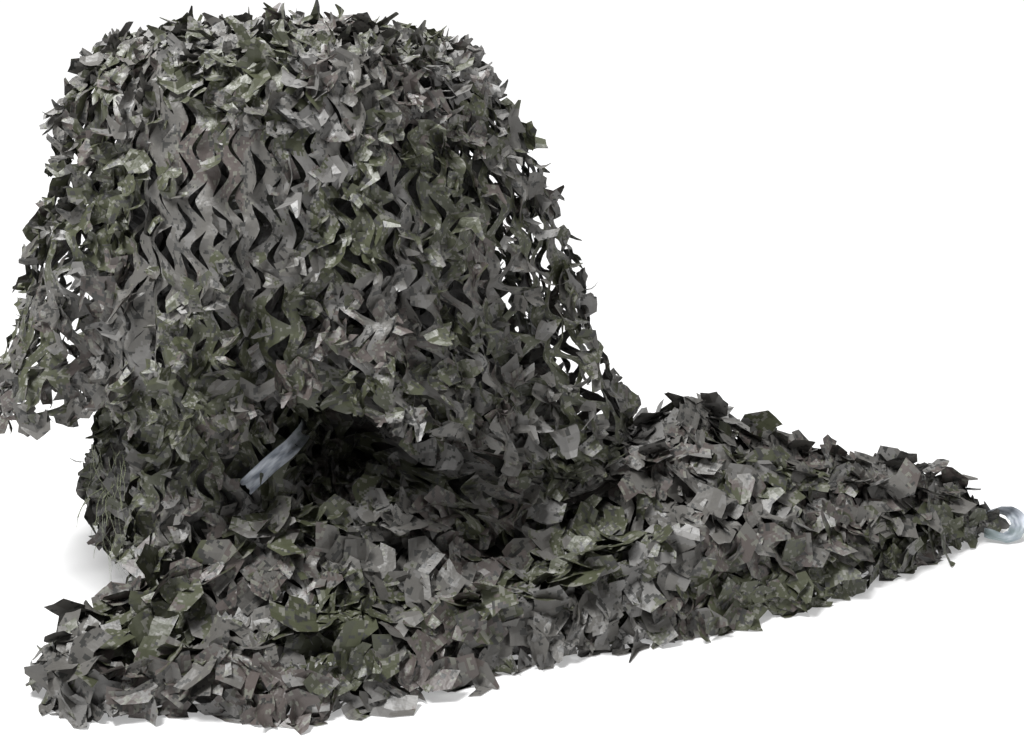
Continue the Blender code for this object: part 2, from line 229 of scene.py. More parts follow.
def roundSurface(profileAt, scan):
    # a surface that goes once round the heap; profileAt gives its points at an azimuth
    placed = []
    for step in range(heapSpace["azimuthSteps"]):
        azimuth = 360.0 * step / heapSpace["azimuthSteps"]
        way = aroundHeap(azimuth, 1.0, 0.0) - aroundHeap(azimuth, 0.0, 0.0)
        placed.append(resample(profileAt(azimuth, way), scan["longest"]))
    arc = 2.0 * math.pi * scan["radius"] / heapSpace["azimuthSteps"]
    return DrapedSurface([row[0] for row in placed], [row[1] for row in placed], arc, True)


# The cape is looked at fanwise over the top, towards its focus, and then from the side down to its hem
capeScan = {
    "focusZ": 0.50, "fanFrom": 86, "fanStep": 4, "fanReach": 0.62, "fanDepth": 0.60,
    "sideStep": 0.008, "sideDepth": 0.45,
    "hemStep": 0.024,          # a radius that drops by more than this has passed the hem,
    "hemBelow": 0.40,          # but only under this height
    "lowestHem": 0.186,
    "radius": 0.345,           # where one metre of cloth is one metre of arc
    "longest": 0.98,
}


def capeProfile(azimuth, way):
    z = capeScan["focusZ"]
    focus = aroundHeap(azimuth, 0.0, z)
    points = []
    for elevation in range(capeScan["fanFrom"], 0, -capeScan["fanStep"]):
        lift = math.radians(elevation)
        outward = way * math.cos(lift) + Vector((0, 0, math.sin(lift)))
        points.append(entries(focus + outward * capeScan["fanReach"], -outward, capeScan["fanDepth"])[0])
    radius = None
    while z > capeScan["lowestHem"]:
        found = entries(aroundHeap(azimuth, heapSpace["outside"], z), -way, capeScan["sideDepth"])
        if not found:
            break
        reached = (found[0] - aroundHeap(azimuth, 0.0, z)).length
        if radius is not None and radius - reached > capeScan["hemStep"] and z < capeScan["hemBelow"]:
            break
        radius = reached
        points.append(found[0])
        z -= capeScan["sideStep"]
    return points


def topSurface():
    # the flat top of the heap, on a square table round the axis
    half, step = heapSpace["topHalf"], heapSpace["tableStep"]
    marks = np.arange(-half, half + step, step)
    places = []
    for x in marks:
        row = []
        for y in marks:
            above = Vector((heapSpace["axis"][0] + x, heapSpace["axis"][1] + y, 1.0))
            found = entries(above, Vector((0.0, 0.0, -1.0)), 1.0)
            row.append(found[0] if found else Vector((above.x, above.y, capeScan["focusZ"])))
        places.append(row[::-1])
    return DrapedSurface(places, np.full(len(marks), 2.0 * half), step, False)


# The bundle's sides, and how wide it may be at some heights
bundleScan = {
    "top": 0.74, "sideDepth": 0.49, "missing": 0.28, "radius": 0.300, "longest": 0.84,
    "heights": (0.0, 0.30, 0.42, 0.62, 0.74), "widest": (0.335, 0.330, 0.285, 0.275, 0.262),
    "hiddenAbove": 0.31,       # over this height it lies under the cape, and its cloth is darkened there as painted shade
}
# Where the tail's cloth climbs into the bundle, under the skirt
bundleBulge = {"azimuth": 350.0, "reach": 46.0, "heights": (0.0, 0.16, 0.25, 0.31, 0.40),
               "radii": (0.36, 0.43, 0.425, 0.35, 0.27)}


def bundleProfile(azimuth, way):
    beside = angleAway(azimuth, bundleBulge["azimuth"]) / bundleBulge["reach"]
    share = max(0.0, 1.0 - beside * beside)
    points = []
    for z in np.arange(bundleScan["top"], 0.0, -heapSpace["tableStep"]):
        found = entries(aroundHeap(azimuth, heapSpace["outside"], z), -way, bundleScan["sideDepth"])
        reached = (found[-1] - aroundHeap(azimuth, 0.0, z)).length if found else bundleScan["missing"]
        radius = min(reached, np.interp(z, bundleScan["heights"], bundleScan["widest"]))
        bulge = np.interp(z, bundleBulge["heights"], bundleBulge["radii"])
        points.append(aroundHeap(azimuth, radius + share * max(0.0, bulge - radius), z))
    return points


# The tail's floor line on both sides, from its left end to its right end, and a height just over it
tailRoute = {
    "near": ((-0.696, -0.369), (-0.654, -0.427), (-0.586, -0.479), (-0.408, -0.479), (-0.314, -0.501),
             (-0.216, -0.463), (-0.004, -0.347), (0.212, -0.259), (0.416, -0.155), (0.614, -0.005),
             (0.730, 0.091), (0.756, 0.109)),
    "far": ((-0.678, -0.335), (-0.634, -0.309), (-0.591, -0.267), (-0.511, -0.107), (-0.416, -0.017),
            (-0.286, 0.023), (-0.024, 0.113), (0.222, 0.188), (0.436, 0.195), (0.628, 0.189),
            (0.738, 0.161), (0.761, 0.147)),
    "over": (0.06, 0.10, 0.13, 0.19, 0.24, 0.245, 0.24, 0.27, 0.20, 0.15, 0.09, 0.06),
    "steps": 136, "turns": 60, "margin": 0.03, "fromEnds": 0.008, "longest": 0.96,
    "aimZ": 0.002, "archPower": 0.7,
    "passesUnder": -0.05,      # left of this x the tail's far side is inside the heap
    "enough": 6,               # with more points than this, a profile may end there
    "fewest": 8,               # with fewer, it is a flat line
    "flatZ": 0.01,
}


def tailProfile(foot, heel, over):
    # what is seen below an arch over the tail from foot to heel
    centre = foot.lerp(heel, 0.5)
    half = 0.5 * (heel - foot).length + tailRoute["margin"]
    across = (heel - foot).normalized()
    points = []
    for turn in range(tailRoute["turns"] + 1):
        angle = math.pi * turn / tailRoute["turns"]
        start = centre - across * math.cos(angle) * half
        start.z = tailRoute["aimZ"] + over * math.sin(angle) ** tailRoute["archPower"]
        away = Vector((centre.x, centre.y, tailRoute["aimZ"])) - start
        place, normal, _, _ = netTree.ray_cast(start, away.normalized(), away.length)
        if place is not None and normal.dot(away) <= 0.0:
            points.append(place)
        elif len(points) > tailRoute["enough"] and centre.x < tailRoute["passesUnder"]:
            break
    fewest = tailRoute["fewest"]
    if len(points) < fewest:
        raised = Vector((0, 0, tailRoute["flatZ"]))
        points = [foot.lerp(heel, share / fewest) + raised for share in range(fewest + 1)]
    return points


def tailSurface():
    near = np.array(tailRoute["near"])
    far = np.array(tailRoute["far"])
    middle = 0.5 * (near + far)
    lengths = np.concatenate([[0.0], np.cumsum(np.linalg.norm(np.diff(middle, axis=0), axis=1))])
    marks = np.linspace(tailRoute["fromEnds"], lengths[-1] - tailRoute["fromEnds"], tailRoute["steps"])
    places, ends = [], []
    for mark in marks:
        foot, heel = [Vector((*[np.interp(mark, lengths, side[:, axis]) for axis in (0, 1)], 0.0))
                      for side in (near, far)]
        over = np.interp(mark, lengths, tailRoute["over"])
        row, end = resample(tailProfile(foot, heel, over), tailRoute["longest"])
        row[:, 2] = np.minimum(row[:, 2], over)
        places.append(row)
        ends.append(end)
    return DrapedSurface(places, ends, marks[1] - marks[0], False, facing=-1.0)


def zigzag(q):
    # a rounded triangular wave, one for each slit period
    share = (q / netCut["slitPeriod"]) % 1.0
    wave = 1.0 - 4.0 * np.abs(share - 0.5)
    rounded = netCut["zigzagRound"]
    return -netCut["zigzag"] * ((1.0 - rounded) * wave - rounded * np.cos(math.tau * share))


def asMesh(name, shape):
    data = bpy.data.meshes.new(name)
    shape.to_mesh(data)
    shape.free()
    return data


def shown(name, data):
    # an object at the origin that holds some data, linked into the scene
    made = bpy.data.objects.new(name, data)
    bpy.context.scene.collection.objects.link(made)
    return made


def cutCloth(name, strips, periods, keep, laid, fineness):
    # a flat grid with its slits split open; keep says which part of it is left after trimming
    columnsEach = netCut["columnsPerStrip"] // fineness
    rowsEach = netCut["rowsPerPeriod"] // fineness
    bridge = netCut["bridgeRows"] // fineness
    columns, rows = strips * columnsEach, periods * rowsEach
    stepP, stepQ = netCut["stripWidth"] / columnsEach, netCut["slitPeriod"] / rowsEach
    sheet = bmesh.new()
    bmesh.ops.create_grid(sheet, x_segments=columns, y_segments=rows, size=0.5)
    bmesh.ops.translate(sheet, verts=sheet.verts, vec=(0.5, 0.5, 0.0))
    bmesh.ops.scale(sheet, verts=sheet.verts, vec=(columns * stepP, rows * stepQ, 1.0))
    slits = []
    for edge in sheet.edges:
        first, second = edge.verts[0].co, edge.verts[1].co
        line, beside = divmod(round(first.x / stepP), columnsEach)
        if beside or abs(first.x - second.x) > 0.4 * stepP:
            continue
        row = round(min(first.y, second.y) / stepQ)
        local = (row - (rowsEach // 2) * (line % 2)) % rowsEach
        if bridge / 2 <= local < rowsEach - bridge / 2:
            slits.append(edge)
    bmesh.ops.split_edges(sheet, edges=slits)
    centres = np.array([face.calc_center_median()[:2] for face in sheet.faces])
    u, v = laid(centres[:, 0] + zigzag(centres[:, 1]), centres[:, 1])
    kept = keep(u, v, centres[:, 0])
    faces = [face for face, stays in zip(list(sheet.faces), kept) if not stays]
    bmesh.ops.delete(sheet, geom=faces, context="FACES")
    return asMesh(name, sheet)


def layOut(span, gather, turn, around):
    # how cloth turned by some degrees, and gathered, lies over a span of the surface;
    # it is cut to an even number of strips and to whole slits
    angle = math.radians(turn)
    middle = [0.5 * (low + high) for low, high in span]
    width, length = [(high - low) / gather for low, high in span]
    across = abs(width * math.cos(angle)) + abs(length * math.sin(angle))
    along = abs(width * math.sin(angle)) + abs(length * math.cos(angle))
    strips = max(2, 2 * round(0.5 * across / netCut["stripWidth"]))
    periods = max(1, round(along / netCut["slitPeriod"]))
    size = (strips * netCut["stripWidth"], periods * netCut["slitPeriod"])
    fitU = around / size[0] if around and not turn else gather

    def laid(p, q):
        x, y = (p - 0.5 * size[0]) * fitU, (q - 0.5 * size[1]) * gather
        return (middle[0] + x * math.cos(angle) - y * math.sin(angle),
                middle[1] + x * math.sin(angle) + y * math.cos(angle))

    return laid, strips, periods, size


def meshArrays(data):
    # flat places, the side of each point that its faces lie on, and the corners of the faces
    count = len(data.vertices)
    places = np.empty(count * 3, np.float32)
    data.vertices.foreach_get("co", places)
    places = places.reshape(-1, 3).astype(float)
    corners = np.empty(len(data.loops), np.int64)
    data.loops.foreach_get("vertex_index", corners)
    faces = corners.reshape(-1, 4)
    middles = places[faces, 0].mean(axis=1)
    sums = np.bincount(corners, weights=np.repeat(middles, 4), minlength=count)
    uses = np.bincount(corners, minlength=count)
    lean = sums / np.maximum(uses, 1) - places[:, 0]
    return places[:, 0], places[:, 1], lean, corners, faces


def bend(distance, hinge, angle):
    # how far a lip draws back and how far it stands out when it curls about its hinge
    run = np.maximum(hinge - distance, 0.0)
    curl = angle / hinge
    safe = np.where(np.abs(curl) < 1e-4, 1e-4, curl)
    back = run - np.sin(safe * run) / safe
    out = (1.0 - np.cos(safe * run)) / safe
    return back, out


# How the cloth varies: each has a base, and what a random number, the wildness or the openness adds
clothRange = {
    "pointed": (0.9, 0.7), "hollow": (0.3, 1.2), "calm": (0.45, 0.55), "open": (1.0, -0.45),
    "wildPointed": (0.75, 0.35), "wildHollow": (0.2, 1.0),
    "gap": (1.1, 0.9), "gapWild": (0.85, 0.35), "openGap": (1.0, 0.9), "droop": (0.4, 1.0),
    "bunch": (0.3, 0.7), "rough": (0.35, 0.65),
}
# What all lips share; the first of two numbers is a wild lip's power and a pointed lip's hinge
lipShape = {"power": (1.2, 0.9), "hinge": (0.88, 0.62), "hollowShare": 0.45, "lean": 0.6,
            "leanLimits": (0.4, 1.6), "mostCurl": 2.4, "gapReach": 0.8, "sideways": 0.35}


def varied(key, amount):
    base, added = clothRange[key]
    return base + added * amount


def openSlits(p, q, lean, look, wildness, openness, seed, strips):
    # every slit has its own opening; its pointed lip lifts more than the hollow one
    strip, period = netCut["stripWidth"], netCut["slitPeriod"]
    half = 0.5 * period * (1.0 - netCut["bridgeRows"] / netCut["rowsPerPeriod"])
    nearest = np.round(p / strip)
    onLine = np.abs(p - nearest * strip) < 0.1 * strip / netCut["columnsPerStrip"]
    left = np.floor(p / strip + 1e-6)
    left = np.where(onLine, np.where(lean < -1e-5, nearest - 1, nearest), left)
    shift, height, slide = np.zeros_like(p), np.zeros_like(p), np.zeros_like(p)
    for line, direction in ((left, 1.0), (left + 1, -1.0)):
        odd = line % 2
        middle = 0.5 * period + 0.5 * period * odd
        turn = np.round((q - middle) / period)
        along = (q - middle - turn * period) / half
        reach = np.maximum(1.0 - along * along, 0.0)
        away = np.abs(p - line * strip)
        draws = [latticeValues(line % strips, turn, np.zeros_like(line) + channel, seed)
                 for channel in range(5)]
        pointed = np.where(odd > 0.5, direction < 0, direction > 0)
        wild = look["wildShare"] * wildness > 0.5 + 0.5 * draws[1]
        calmAngle = np.where(pointed, look["pointedLift"] * varied("pointed", draws[0]),
                             look["hollowLift"] * varied("hollow", draws[2])) * varied("calm", wildness)
        wildAngle = np.where(pointed, look["wildLift"] * varied("wildPointed", draws[0]),
                             look["wildLift"] * lipShape["hollowShare"] * varied("wildHollow", draws[2]))
        inward = (draws[3] < -1.0 + 2.0 * look["inwardShare"]) & ~(wild & pointed)
        angle = np.radians(np.where(wild, wildAngle, calmAngle)) * np.where(inward, -1.0, 1.0)
        angle = angle * varied("open", openness)
        leaning = np.clip(1.0 + lipShape["lean"] * draws[4] * along, *lipShape["leanLimits"])
        profile = reach ** np.where(wild, *lipShape["power"]) * leaning
        hinge = np.where(pointed, *lipShape["hinge"]) * strip
        curl = np.clip(angle * profile, -lipShape["mostCurl"], lipShape["mostCurl"])
        back, out = bend(away, hinge, curl)
        wide = (look["gap"] * varied("gap", draws[2]) * varied("gapWild", wildness)
                + openness * look["openGap"] * varied("openGap", draws[1]))
        gap = wide * reach * np.maximum(1.0 - away / (lipShape["gapReach"] * strip), 0.0)
        shift += direction * (back + gap)
        height += out
        slide += look["droop"] * out * varied("droop", draws[0]) + lipShape["sideways"] * out * draws[4]
    return shift, height, slide


# The sizes, in metres, of what makes laid cloth uneven
clothWaves = {
    "bunchU": (0.110, 0.047), "bunchV": (0.120, 0.052), "folds": 0.105, "crumple": 0.060, "crease": 0.027,
    "stir": 0.05, "onFloor": 0.03, "floorRise": 0.002, "seam": 0.00005,
}


def twoWaves(u, v, waves, seed, around):
    return flatNoise(u, v, waves[0], seed, around) + 0.5 * flatNoise(u, v, waves[1], seed + 1, around)


def layCloth(name, surface, look, seed, span, keep, turn=0.0, fineness=1):
    # cuts a cloth for a span of the draped surface and gives it its folds, lips and crumples
    around = surface.around
    laid, strips, periods, size = layOut(span, look["gather"], turn, around)
    data = cutCloth(name, strips, periods, keep, laid, fineness)
    p, q, lean, corners, faces = meshArrays(data)
    clothU, clothV = p + zigzag(q), q
    u, v = laid(clothU, clothV)
    wildness, openness = look["wildness"](u, v), look["openness"](u, v)
    shift, height, slide = openSlits(p, q, lean, look, wildness, openness, seed, strips)
    u, v = laid(clothU + shift, clothV + slide)
    bunch = look["bunch"] * varied("bunch", wildness)
    u, v = (u + bunch * twoWaves(u, v, clothWaves["bunchU"], seed + 11, around),
            v + bunch * twoWaves(u, v, clothWaves["bunchV"], seed + 13, around))
    base, normal = surface.at(u, v)
    rough = varied("rough", wildness)
    folds = rough * (look["folds"] * flatNoise(u, v, clothWaves["folds"], seed + 21, around)
                     + look["crumple"] * facetNoise(u, v, clothWaves["crumple"], seed + 22, around)
                     + look["crease"] * facetNoise(u, v, clothWaves["crease"], seed + 24, around))
    placed = base + normal * (look["offset"] + height + folds - look["grooves"](u, v))[:, None]
    for axis in range(3):
        x, y, z = placed.T / clothWaves["stir"]
        placed[:, axis] += look["stir"] * rough * softNoise(x, y, z, seed + 31 + axis)
    patch = latticeValues(np.round(u / clothWaves["onFloor"]), np.round(v / clothWaves["onFloor"]),
                          np.zeros_like(u), seed)
    lowest = heapSpace["floorGap"] + clothWaves["floorRise"] * (1.0 + patch)
    placed[:, 2] = np.maximum(placed[:, 2], lowest)
    data.vertices.foreach_set("co", placed.astype(np.float32).ravel())
    layer = data.uv_layers.new(name="cloth")
    flat = np.stack([clothU + look["printShift"][0], clothV + look["printShift"][1]], axis=1)
    layer.data.foreach_set("uv", flat[corners].astype(np.float32).ravel())
    flatCorners = np.stack([clothU, clothV], axis=1)[faces]
    acrossFace = flatCorners[:, 2] - flatCorners[:, 0]
    downFace = flatCorners[:, 3] - flatCorners[:, 1]
    doubled = np.abs(acrossFace[:, 0] * downFace[:, 1] - acrossFace[:, 1] * downFace[:, 0])
    flatArea = float(0.5 * doubled.sum())
    # the seam closes here
    joined = bmesh.new()
    joined.from_mesh(data)
    bmesh.ops.remove_doubles(joined, verts=joined.verts, dist=clothWaves["seam"])
    for face in joined.faces:
        face.smooth = True
    joined.to_mesh(data)
    joined.free()
    data.set_sharp_from_angle(angle=math.radians(look["sharp"]))
    print("piece:", name, len(data.polygons) * 2, "triangles, flat", round(flatArea, 3), "m2 of",
          round(size[0], 3), "x", round(size[1], 3))
    return shown(name, data), size, flatArea


def raggedEdge(p, seed, deep, point):
    # each strip of cloth ends at its own length, in a point
    strip = netCut["stripWidth"]
    line = np.floor(p / strip)
    within = np.abs(2.0 * (p / strip - line) - 1.0)
    return deep * latticeValues(line, np.zeros_like(line), np.zeros_like(line), seed) - point * within


# The tongues of the cut that stand right out: some end in a point, some are cut square, some are elbows.
# Each row gives these, in metres but for the crease; the bends are degrees from row to row of the tongue.
leafColumns = ("root", "tip", "length", "elbow", "crease", "bends")
leafKinds = (
    (0.030, 0.004, 0.030, 0.004, 0.12, (6, 22, -8, 6)),
    (0.024, 0.015, 0.030, -0.004, -0.08, (0, 26, 8, 0)),
    (0.019, 0.014, 0.038, 0.012, 0.10, (6, -16, 24, 4)),
    (0.036, 0.005, 0.026, -0.008, 0.18, (-6, 20, 6, 18)),
    (0.024, 0.005, 0.036, -0.012, -0.16, (12, 6, -22, 8)),
    (0.032, 0.018, 0.024, 0.002, 0.06, (-10, 34, 0, 12)),
    (0.020, 0.003, 0.032, 0.008, 0.05, (20, 26, 24, 20)),
    (0.038, 0.014, 0.036, -0.003, -0.12, (-4, -18, 6, 30)),
)
flatLeafKinds = (
    (0.034, 0.022, 0.034, 0.004, 0.06, (4, 10, -4, 6)),
    (0.030, 0.006, 0.034, -0.006, -0.05, (0, 14, 4, 0)),
    (0.028, 0.020, 0.040, 0.009, 0.04, (4, -8, 12, 2)),
    (0.036, 0.012, 0.030, -0.008, 0.10, (-4, 12, 4, 8)),
    (0.026, 0.017, 0.042, -0.009, -0.08, (8, 2, -12, 4)),
    (0.032, 0.024, 0.026, 0.002, 0.03, (-6, 16, 0, 6)),
)
threadKinds = (
    (0.0017, 0.0012, 0.075, 0.010, 0.0, (4, -8, 6, 6, -10)),
    (0.0016, 0.0012, 0.055, -0.008, 0.0, (8, -6, -8, 10, 4)),
    (0.0018, 0.0013, 0.095, 0.014, 0.0, (2, 6, -12, -2, 8)),
)

# Places left bare, so that the ribbons show: a point, and how far round it no leaf grows
bareSpots = (
    ((-0.372, -0.245, 0.250), 0.036), ((-0.345, -0.200, 0.268), 0.034), ((-0.402, -0.236, 0.215), 0.026),
    ((-0.338, -0.235, 0.262), 0.040), ((0.785, 0.115, 0.025), 0.050),
)


def leafTemplate(name, kind):
    # one tongue from its root to its tip along Y, bent a little at each of its rows
    rows = len(kind["bends"])
    leaf = bmesh.new()
    bmesh.ops.create_grid(leaf, x_segments=2, y_segments=rows, size=0.5)
    bmesh.ops.translate(leaf, verts=leaf.verts, vec=(0.0, 0.5, 0.0))
    spine = [(0.0, 0.0)]
    heading = 0.0
    for turn in kind["bends"]:
        heading += math.radians(turn)
        reach = kind["length"] / rows
        spine.append((spine[-1][0] + reach * math.cos(heading), spine[-1][1] + reach * math.sin(heading)))
    for vertex in leaf.verts:
        across, along = 2.0 * vertex.co.x, vertex.co.y
        half = 0.5 * (kind["root"] + (kind["tip"] - kind["root"]) * along ** 1.4)
        elbow = kind["elbow"] * (1.0 - abs(2.0 * along - 1.0))
        y, z = spine[round(along * rows)]
        vertex.co = (across * half + elbow, y, z - abs(across) * half * kind["crease"] * 2.0)
    data = asMesh(name, leaf)
    layer = data.uv_layers.new(name="cloth")
    for loop in data.loops:
        place = data.vertices[loop.vertex_index].co
        layer.data[loop.index].uv = (place.x, place.y)
    return bpy.data.objects.new(name, data)


nodeGrid = {"perRow": 8, "across": 240, "down": 300}


def fill(tree, made, inputs):
    # links each input to a socket, or sets it to a value
    for key, value in inputs.items():
        if isinstance(value, bpy.types.NodeSocket):
            tree.links.new(value, made.inputs[key])
        else:
            made.inputs[key].default_value = value


def node(tree, kind, inputs, **settings):
    # a new node in a row of them, with its inputs filled
    row, column = divmod(len(tree.nodes), nodeGrid["perRow"])
    made = tree.nodes.new(kind)
    made.location = ((column - nodeGrid["perRow"]) * nodeGrid["across"], -row * nodeGrid["down"])
    for key, value in settings.items():
        setattr(made, key, value)
    fill(tree, made, inputs)
    return made


def leafTree(name, kinds):
    # one leaf of some kind on every point, turned and sized as the point says, and made real
    templates = bpy.data.collections.new(name)
    for index, row in enumerate(kinds):
        templates.objects.link(leafTemplate(name + str(index), dict(zip(leafColumns, row))))
    tree = bpy.data.node_groups.new(name, "GeometryNodeTree")
    for way in ("INPUT", "OUTPUT"):
        tree.interface.new_socket("Geometry", in_out=way, socket_type="NodeSocketGeometry")
    start = node(tree, "NodeGroupInput", {})
    box = node(tree, "GeometryNodeCollectionInfo",
               {"Collection": templates, "Separate Children": True, "Reset Children": True})
    spin, size, kind = [
        node(tree, "GeometryNodeInputNamedAttribute", {"Name": key}, data_type=held).outputs[0]
        for key, held in (("spin", "FLOAT_VECTOR"), ("size", "FLOAT"), ("kind", "INT"))]
    spread = node(tree, "GeometryNodeInstanceOnPoints",
                  {"Points": start.outputs[0], "Instance": box.outputs[0], "Pick Instance": True,
                   "Instance Index": kind, "Rotation": spin, "Scale": size})
    real = node(tree, "GeometryNodeRealizeInstances", {0: spread.outputs[0]})
    node(tree, "NodeGroupOutput", {0: real.outputs[0]})
    return tree


leafScatter = {
    "tries": 3,                # places drawn for each leaf that is wanted
    "openThins": 0.55,         # how much sparser leaves are where the skirt is open
    "smallest": 0.62, "larger": 0.76, "sizePower": 1.3, "liftPower": 1.6,
    "endSize": 0.70, "endLift": 0.30,          # the least share of each at a tapered end
    "sunk": 0.002, "lowestRoot": 0.004, "sideStep": 0.004, "kindDraw": 997.0,
}


def leafSpins(base, normal, beside, look, draws, calmed):
    # a heading that droops where the cloth is steep, a lift off the cloth and a roll for each leaf
    low, high = look["leafLift"]
    spins = []
    for i in range(len(base)):
        up = Vector(normal[i])
        side = Vector(beside[i] - base[i])
        side = (side - up * side.dot(up)).normalized()
        heading = math.tau * draws[2][i]
        drop = (Vector((0.0, 0.0, -1.0)) + up * up.z) * look["hang"]
        forward = (side * math.cos(heading) + up.cross(side) * math.sin(heading) + drop).normalized()
        lift = math.radians(low + (high - low) * calmed[i] * draws[3][i] ** leafScatter["liftPower"])
        along = forward * math.cos(lift) + up * math.sin(lift)
        face = up * math.cos(lift) - forward * math.sin(lift)
        turn = Matrix((along.cross(face), along, face)).transposed()
        roll = Matrix.Rotation(math.radians(look["leafRoll"]) * (draws[4][i] - 0.5), 3, "Y")
        spins.append((turn @ roll).to_euler())
    return np.array(spins, np.float32)


def leavesOn(name, surface, look, seed, span, keep, tree):
    # scatters leaves over a span of a draped surface
    count = look["leafCount"]
    order = np.arange(count * leafScatter["tries"])
    draws = [0.5 + 0.5 * latticeValues(order, np.full_like(order, channel), np.zeros_like(order), seed)
             for channel in range(8)]
    u = span[0][0] + (span[0][1] - span[0][0]) * draws[0]
    v = span[1][0] + (span[1][1] - span[1][0]) * draws[1]
    wildness = look["wildness"](u, v) * (1.0 - leafScatter["openThins"] * look["openness"](u, v))
    base, _ = surface.at(u, v)
    stays = keep(u, v) & (draws[7] < wildness)
    for spot, reach in bareSpots:
        stays = stays & (np.linalg.norm(base - np.array(spot), axis=1) > reach)
    u, v = u[stays][:count], v[stays][:count]
    draws = [draw[stays][:count] for draw in draws]
    base, normal = surface.at(u, v)
    beside, _ = surface.at(u + leafScatter["sideStep"], v)
    toEnd = (span[0][1] - u) / look["leafTaper"]
    nearest = np.minimum(u - span[0][0], span[0][1] - u) / look["leafTaper"]
    spins = leafSpins(base, normal, beside, look, draws, np.clip(nearest, leafScatter["endLift"], 1.0))
    rise = look["offset"] - leafScatter["sunk"] + look["leafRise"] * draws[6] - look["grooves"](u, v)
    roots = base + normal * rise[:, None]
    roots[:, 2] = np.maximum(roots[:, 2], leafScatter["lowestRoot"])
    points = bpy.data.meshes.new(name + "Roots")
    points.vertices.add(len(u))
    points.vertices.foreach_set("co", roots.astype(np.float32).ravel())
    sizes = (look["leafSize"] * np.clip(toEnd, leafScatter["endSize"], 1.0)
             * (leafScatter["smallest"] + leafScatter["larger"] * draws[5] ** leafScatter["sizePower"]))
    picks = np.floor(draws[6] * leafScatter["kindDraw"])
    for key, kind, field, values in (("spin", "FLOAT_VECTOR", "vector", spins),
                                     ("size", "FLOAT", "value", sizes.astype(np.float32)),
                                     ("kind", "INT", "value", picks.astype(np.int32))):
        points.attributes.new(key, kind, "POINT").data.foreach_set(field, values.ravel())
    holder = shown(name + "Roots", points)
    holder.modifiers.new("leaves", "NODES").node_group = tree
    data = bpy.data.meshes.new_from_object(holder.evaluated_get(bpy.context.evaluated_depsgraph_get()))
    data.name = name
    bpy.data.objects.remove(holder)
    places = np.empty(len(data.vertices) * 3, np.float32)
    data.vertices.foreach_get("co", places)
    places[2::3] = np.maximum(places[2::3], heapSpace["floorGap"])
    data.vertices.foreach_set("co", places)
    flat = np.empty(len(data.loops) * 2, np.float32)
    layer = data.uv_layers["cloth"]
    layer.data.foreach_get("uv", flat)
    shift = np.stack([u, v], axis=1) + np.array(look["printShift"])
    flat = flat.reshape(-1, 2) + np.repeat(shift, len(data.loops) // len(u), axis=0)
    layer.data.foreach_set("uv", flat.astype(np.float32).ravel())
    data.update()
    print("piece:", name, len(u), "of its kind,", len(data.polygons) * 2, "triangles")
    return shown(name, data)


leavesOnPoints = leafTree("leaf", leafKinds)
flatLeavesOnPoints = leafTree("flatLeaf", flatLeafKinds)
threadsOnPoints = leafTree("thread", threadKinds)


def newMaterial(name):
    material = bpy.data.materials.new(name)
    material.use_nodes = True
    return material, material.node_tree, material.node_tree.nodes["Principled BSDF"]


def clothPlace(tree):
    return node(tree, "ShaderNodeUVMap", {}, uv_map="cloth").outputs[0]


def vectors(tree, operation, first, second):
    return node(tree, "ShaderNodeVectorMath", {0: first, 1: second}, operation=operation).outputs[0]


def maths(tree, operation, *values):
    return node(tree, "ShaderNodeMath", dict(enumerate(values)), operation=operation).outputs[0]


def noiseNode(tree, vector, scale, detail, roughness, shift=None):
    if shift is not None:
        vector = vectors(tree, "ADD", vector, shift)
    return node(tree, "ShaderNodeTexNoise", {"Vector": vector, "Scale": scale, "Detail": detail,
                                             "Roughness": roughness}).outputs["Fac"]


def layered(tree, under, mask, colour):
    # a colour laid over another, or over what a socket gives, where the mask is 1
    under = (*under, 1.0) if isinstance(under, tuple) else under
    return node(tree, "ShaderNodeMix", {"Factor": mask, 6: under, 7: (*colour, 1.0)},
                data_type="RGBA").outputs[2]


def bumped(tree, height, strength, distance, **others):
    return node(tree, "ShaderNodeBump", {"Height": height, "Strength": strength, "Distance": distance,
                                         **others}).outputs[0]


clothPrint = {
    "pixel": 0.0025,
    "tints": {"grey": (0.095, 0.091, 0.084), "paleGrey": (0.132, 0.129, 0.124),
              "darkGrey": (0.033, 0.033, 0.031), "olive": (0.050, 0.054, 0.030),
              "paleFleck": (0.128, 0.128, 0.108), "brown": (0.077, 0.064, 0.059)},
    # a tint, what its noise is made with, and the value above which the tint shows
    "patches": (("paleGrey", (9.0, 4.0, 0.60, (3.1, 7.7, 0.0)), 0.58),
                ("brown", (7.0, 4.0, 0.58, (9.3, 1.9, 0.0)), 0.60),
                ("olive", (5.6, 3.0, 0.55), 0.570)),
    "brokenEdge": 0.10,        # how far single pixels break up the edge of a patch
    "fleck": (140.0, 0.0, 0.5, (1.3, 2.9, 0.0)), "fleckAbove": 0.625,
    "dark": (125.0, 0.0, 0.5, (5.3, 4.9, 0.0)), "darkAbove": 0.575,
    "cluster": (24.0, 3.0, 0.6, (8.3, 0.9, 0.0)), "clusterAbove": 0.50,
    "weave": (900.0, 1.0, 0.5), "weaveBump": (0.10, 0.0006),
    "wrinkle": (60.0, 3.0, 0.6, (4.0, 4.0, 0.0)), "wrinkleBump": (0.5, 0.004),
    "roughness": 0.46, "specular": 0.5,
    # how far the copy of the cloth for the inner layers is darkened, as painted shade
    "innerShade": 0.30,
}


